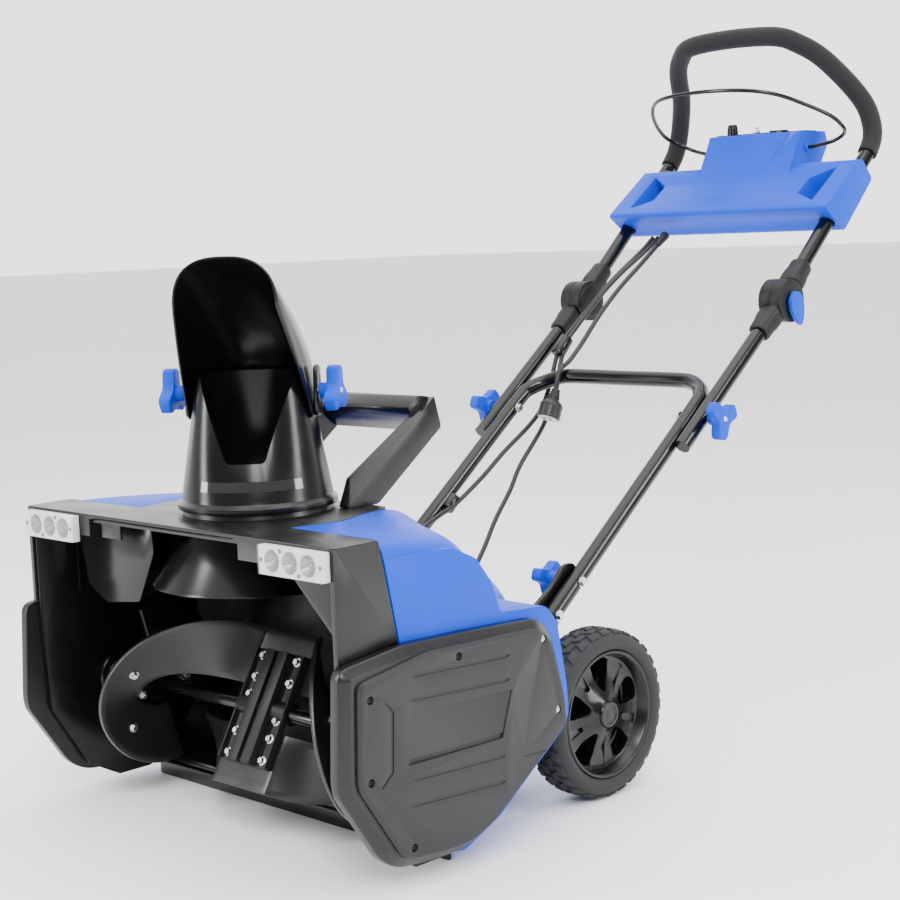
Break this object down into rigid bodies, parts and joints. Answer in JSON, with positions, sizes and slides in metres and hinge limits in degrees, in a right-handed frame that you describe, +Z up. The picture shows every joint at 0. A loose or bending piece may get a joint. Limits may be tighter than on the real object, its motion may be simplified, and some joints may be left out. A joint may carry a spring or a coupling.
{
  "type": "single stage snowblower",
  "caption": "Walk-behind electric snowblower with a rubber-bladed auger, turning discharge chute, side belt drive, rear wheels and folding loop handle.",
  "frame": {"origin": "on the ground, below the middle of the machine's bounding box, free cord left out", "axes": "+Z up, the auger's mouth faces -Y and the handle is at +Y, +X is the operator's left with the belt cover"},
  "size_m": [0.607, 1.221, 0.9635],
  "materials": {
    "blue_plastic": "smooth satin blue",
    "gloss_black": "glossy black",
    "matte_charcoal": "fine matte charcoal",
    "paddle_rubber": "semi-gloss black rubber",
    "tyre_rubber": "matte dark grey",
    "steel": "bare steel",
    "painted_steel": "gloss black paint",
    "lamp_white": "white reflector",
    "lens_clear": "clear",
    "grip_foam": "soft matte foam",
    "cord_black": "matte black"
  },
  "bodies": {
    "chassis": {"auger_housing": "gloss_black", "front_cowl": "gloss_black", "body_shell": "blue_plastic", "belt_cover": "matte_charcoal", "side_cover": "matte_charcoal", "scraper_bar": "gloss_black", "chute_funnel": "gloss_black", "headlight_left": "lamp_white", "headlight_lens_left": "lens_clear", "headlight_right": "lamp_white", "headlight_lens_right": "lens_clear", "carry_handle": "gloss_black", "motor": "steel", "drive_belt": "cord_black", "auger_bearing_left": "steel", "auger_bearing_right": "steel", "wheel_axle": "steel", "handle_bracket_left": "painted_steel", "handle_bracket_right": "painted_steel", "lower_handle": "painted_steel", "middle_tube_left": "painted_steel", "middle_tube_right": "painted_steel", "fold_base_left": "matte_charcoal", "fold_base_right": "matte_charcoal", "motor_cable": "cord_black", "lamp_cable": "cord_black"},
    "auger": {"auger_shaft": "painted_steel", "auger_pulley": "matte_charcoal", "paddle_upper": "paddle_rubber", "paddle_lower": "paddle_rubber", "paddle_bracket": "painted_steel", "end_plate_left": "painted_steel", "end_plate_right": "painted_steel"},
    "motor_rotor": {"motor_pulley": "steel"},
    "wheel_left": {"wheel_left_tyre": "tyre_rubber", "wheel_left_rim": "gloss_black"},
    "wheel_right": {"wheel_right_tyre": "tyre_rubber", "wheel_right_rim": "gloss_black"},
    "chute": {"chute_body": "gloss_black"},
    "deflector": {"chute_deflector": "gloss_black"},
    "deflector_knob_left": {"deflector_knob_left": "blue_plastic"},
    "deflector_knob_right": {"deflector_knob_right": "blue_plastic"},
    "middle_knob_left": {"middle_knob_left": "blue_plastic"},
    "middle_knob_right": {"middle_knob_right": "blue_plastic"},
    "lower_knob_left": {"lower_knob_left": "blue_plastic"},
    "lower_knob_right": {"lower_knob_right": "blue_plastic"},
    "upper": {"upper_handle": "painted_steel", "foam_grip": "grip_foam", "console_shell": "blue_plastic", "console_cover": "gloss_black", "fold_cap_left": "matte_charcoal", "fold_cap_right": "matte_charcoal", "power_cord": "cord_black", "cord_relief": "cord_black", "cord_plug": "cord_black"},
    "fold_lever_left": {"fold_lever_left": "blue_plastic"},
    "fold_lever_right": {"fold_lever_right": "blue_plastic"},
    "bail": {"bail_lever": "painted_steel"},
    "start_button": {"start_button": "gloss_black"},
    "light_switch": {"light_switch": "gloss_black"}
  },
  "joints": [
    {"name": "auger_spin", "type": "hinge", "parent": "chassis", "child": "auger", "pos_m": [0, -0.4775, 0.14], "axis": [1, 0, 0], "continuous": true},
    {"name": "motor_spin", "type": "hinge", "parent": "chassis", "child": "motor_rotor", "pos_m": [0, -0.3125, 0.205], "axis": [1, 0, 0], "continuous": true},
    {"name": "wheel_left_spin", "type": "hinge", "parent": "chassis", "child": "wheel_left", "pos_m": [0.2405, -0.1535, 0.102], "axis": [1, 0, 0], "continuous": true},
    {"name": "wheel_right_spin", "type": "hinge", "parent": "chassis", "child": "wheel_right", "pos_m": [-0.2405, -0.1535, 0.102], "axis": [1, 0, 0], "continuous": true},
    {"name": "chute_rotate", "type": "hinge", "parent": "chassis", "child": "chute", "pos_m": [0, -0.4588, 0.3773], "axis": [0, 0, 1], "range_deg": [-128, 62]},
    {"name": "deflector_tilt", "type": "hinge", "parent": "chute", "child": "deflector", "pos_m": [0, -0.4588, 0.507], "axis": [0.8387, 0.5446, 0], "range_deg": [0, 30]},
    {"name": "deflector_knob_left_turn", "type": "hinge", "parent": "chute", "child": "deflector_knob_left", "pos_m": [0.08177, -0.4057, 0.507], "axis": [0.8387, 0.5446, 0], "continuous": true},
    {"name": "deflector_knob_right_turn", "type": "hinge", "parent": "chute", "child": "deflector_knob_right", "pos_m": [-0.08177, -0.5119, 0.507], "axis": [-0.8387, -0.5446, 0], "continuous": true},
    {"name": "middle_knob_left_turn", "type": "hinge", "parent": "chassis", "child": "middle_knob_left", "pos_m": [0.212, 0.1515, 0.42378], "axis": [1, 0, 0], "continuous": true},
    {"name": "middle_knob_right_turn", "type": "hinge", "parent": "chassis", "child": "middle_knob_right", "pos_m": [-0.212, 0.1515, 0.42378], "axis": [-1, 0, 0], "continuous": true},
    {"name": "lower_knob_left_turn", "type": "hinge", "parent": "chassis", "child": "lower_knob_left", "pos_m": [0.112, -0.0875, 0.24078], "axis": [-1, 0, 0], "continuous": true},
    {"name": "lower_knob_right_turn", "type": "hinge", "parent": "chassis", "child": "lower_knob_right", "pos_m": [-0.112, -0.0875, 0.24078], "axis": [1, 0, 0], "continuous": true},
    {"name": "handle_fold", "type": "hinge", "parent": "chassis", "child": "upper", "pos_m": [0, 0.3405, 0.5685], "axis": [1, 0, 0], "range_deg": [0, 100], "deforming": ["motor_cable", "lamp_cable"]},
    {"name": "fold_lever_left_open", "type": "hinge", "parent": "chassis", "child": "fold_lever_left", "pos_m": [0.199, 0.33598, 0.5828], "axis": [0, -0.9536, -0.3011], "range_deg": [0, 90]},
    {"name": "fold_lever_right_open", "type": "hinge", "parent": "chassis", "child": "fold_lever_right", "pos_m": [-0.199, 0.33598, 0.5828], "axis": [0, 0.9536, 0.3011], "range_deg": [0, 90]},
    {"name": "bail_pull", "type": "hinge", "parent": "upper", "child": "bail", "pos_m": [0, 0.5515, 0.786], "axis": [1, 0, 0], "range_deg": [-31, 0], "stiffness_Nm_per_rad": 1.2, "springref_deg": 20.05},
    {"name": "start_press", "type": "slide", "parent": "upper", "child": "start_button", "axis": [0, 0, 1], "range_m": [-0.004, 0], "stiffness_N_per_m": 250, "springref_m": 0.003},
    {"name": "light_switch_rock", "type": "hinge", "parent": "upper", "child": "light_switch", "pos_m": [0.035, 0.5575, 0.8105], "axis": [0, 1, 0], "range_deg": [0, 12]}
  ],
  "couplings": [
    {"joint": "motor_spin", "follows": "auger_spin", "ratio": 3.3333}
  ]
}
